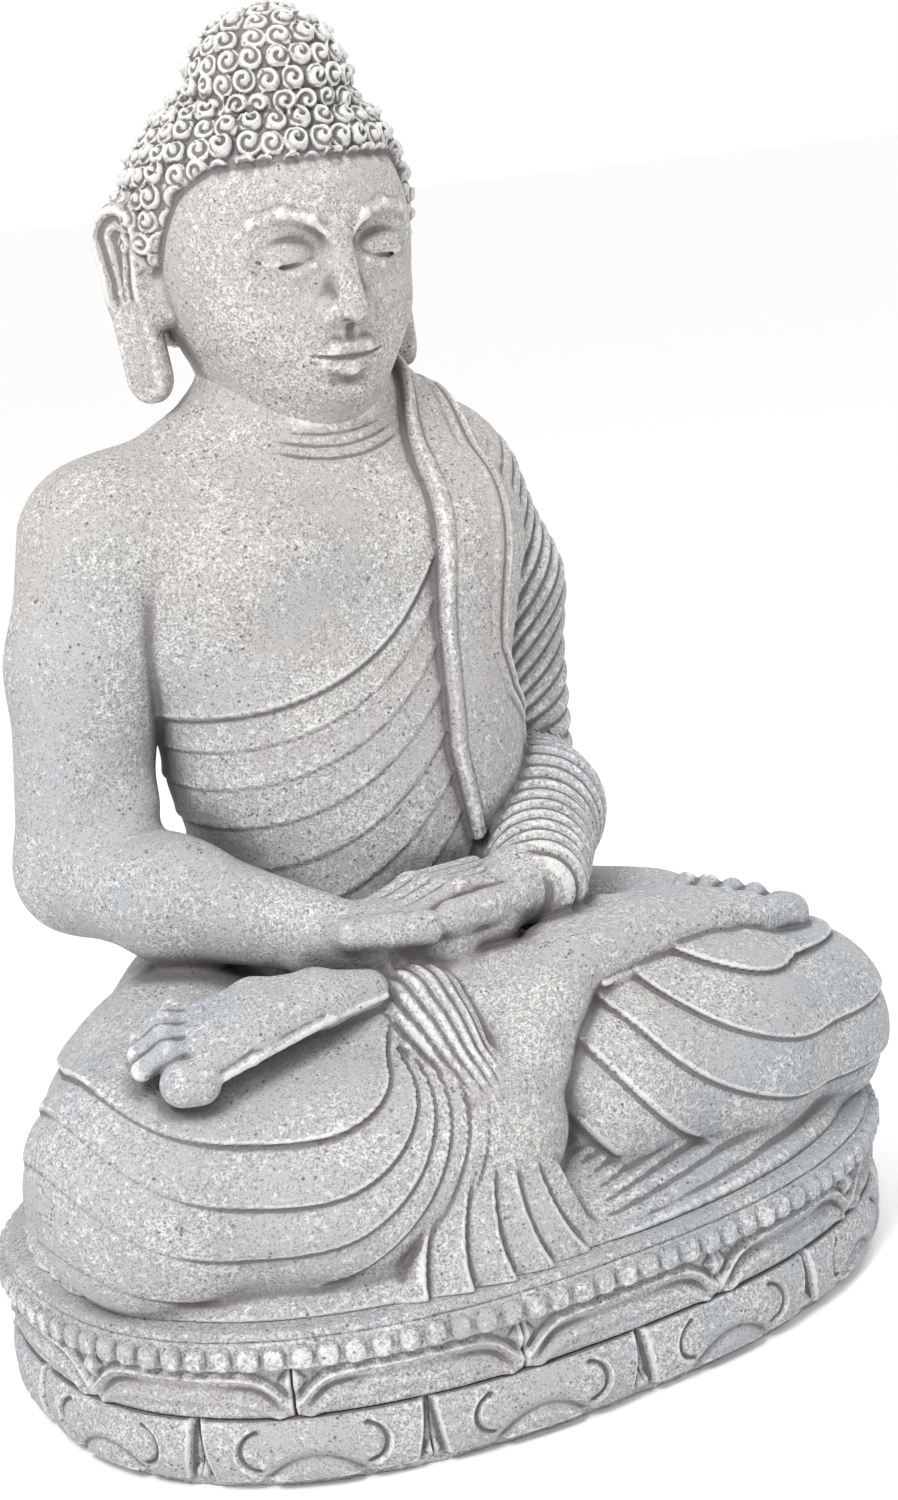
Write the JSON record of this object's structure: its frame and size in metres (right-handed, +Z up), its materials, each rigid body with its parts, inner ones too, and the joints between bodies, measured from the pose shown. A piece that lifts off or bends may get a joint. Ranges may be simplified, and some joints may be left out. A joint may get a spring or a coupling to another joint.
{
  "type": "seated figure statue",
  "caption": "Cast-stone statue of a robed figure seated cross-legged with hands in the lap, on an oval beaded lotus throne, with a steel armature inside.",
  "frame": {"origin": "centre of the throne's flat underside, on the ground", "axes": "+Z up, the figure faces -Y, its own right side is -X"},
  "size_m": [0.72, 0.524, 0.9992],
  "materials": {
    "cast_stone": "weathered matte cast stone with pale worn edges and dark recesses",
    "reinforcing_steel": "mill-scaled reinforcing bar with light rust"
  },
  "bodies": {
    "root": {"foot_slab": "cast_stone", "lower_core": "cast_stone", "lower_petals": "cast_stone", "upper_core": "cast_stone", "upper_petals": "cast_stone", "bead_band": "cast_stone", "beads": "cast_stone", "seat_slab": "cast_stone", "right_leg": "cast_stone", "left_leg": "cast_stone", "robe_lap": "cast_stone", "robe_skirt": "cast_stone", "robe_fan": "cast_stone", "right_foot": "cast_stone", "left_foot": "cast_stone", "torso": "cast_stone", "shoulder_sash": "cast_stone", "right_upper_arm": "cast_stone", "right_forearm": "cast_stone", "left_upper_sleeve": "cast_stone", "left_lower_sleeve": "cast_stone", "right_hand": "cast_stone", "left_hand": "cast_stone", "neck": "cast_stone", "head": "cast_stone", "hair_cap": "cast_stone", "topknot": "cast_stone", "right_ear": "cast_stone", "left_ear": "cast_stone", "forehead_urna": "cast_stone", "spine_bar": "reinforcing_steel", "shoulder_bar": "reinforcing_steel", "right_upper_arm_bar": "reinforcing_steel", "left_upper_arm_bar": "reinforcing_steel", "right_forearm_bar": "reinforcing_steel", "left_forearm_bar": "reinforcing_steel", "knee_bars": "reinforcing_steel", "throne_long_bars": "reinforcing_steel", "throne_cross_bars": "reinforcing_steel"}
  },
  "joints": []
}
